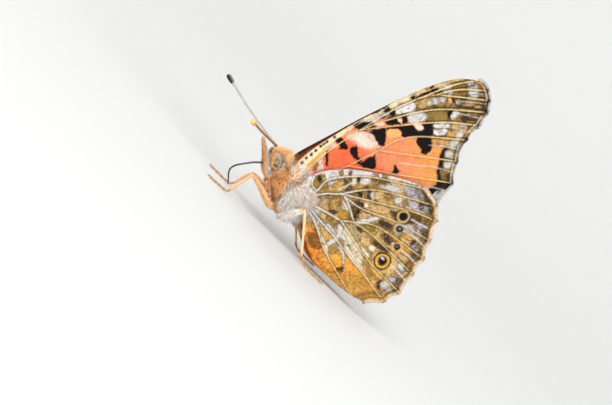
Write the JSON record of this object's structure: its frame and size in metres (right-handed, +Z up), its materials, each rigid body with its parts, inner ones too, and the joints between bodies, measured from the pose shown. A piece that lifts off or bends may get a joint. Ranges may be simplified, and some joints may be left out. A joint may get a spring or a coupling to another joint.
{
  "type": "painted lady butterfly",
  "caption": "Life-size butterfly standing with its patterned wings closed over its back, feelers spread, tongue reaching down and feet flat on the ground.",
  "frame": {"origin": "on the floor under the middle of the whole butterfly", "axes": "+Z up, the head points to -Y, the butterfly's left side is +X; the middle plane of the body is X = 0"},
  "size_m": [0.018, 0.0369, 0.0349],
  "materials": {
    "forewing_scales": "matt wing scales, orange with dark bars and pale patches",
    "hindwing_scales": "matt wing scales, marbled olive, brown and cream",
    "pale_hair": "soft pale hair",
    "tan_hair": "soft orange-tan hair",
    "eye": "glossy faceted eye",
    "horn": "dark smooth horn",
    "antenna": "pale scaled shaft",
    "leg": "pale orange scales"
  },
  "bodies": {
    "root": {"forewing_left": "forewing_scales", "forewing_right": "forewing_scales", "hindwing_left": "hindwing_scales", "hindwing_right": "hindwing_scales", "eye_left": "eye", "eye_right": "eye", "palp_left": "tan_hair", "palp_right": "tan_hair", "antenna_left": "antenna", "antenna_right": "antenna", "foreleg_left": "tan_hair", "foreleg_right": "tan_hair", "head": "tan_hair", "thorax": "pale_hair", "abdomen": "tan_hair", "proboscis_base": "horn", "proboscis_tip": "horn", "leg_mid_left_hip": "tan_hair", "leg_mid_left_thigh": "leg", "leg_mid_left_shin": "leg", "leg_mid_left_foot": "leg", "leg_mid_right_hip": "tan_hair", "leg_mid_right_thigh": "leg", "leg_mid_right_shin": "leg", "leg_mid_right_foot": "leg", "leg_hind_left_hip": "tan_hair", "leg_hind_left_thigh": "leg", "leg_hind_left_shin": "leg", "leg_hind_left_foot": "leg", "leg_hind_right_hip": "tan_hair", "leg_hind_right_thigh": "leg", "leg_hind_right_shin": "leg", "leg_hind_right_foot": "leg"}
  },
  "joints": []
}
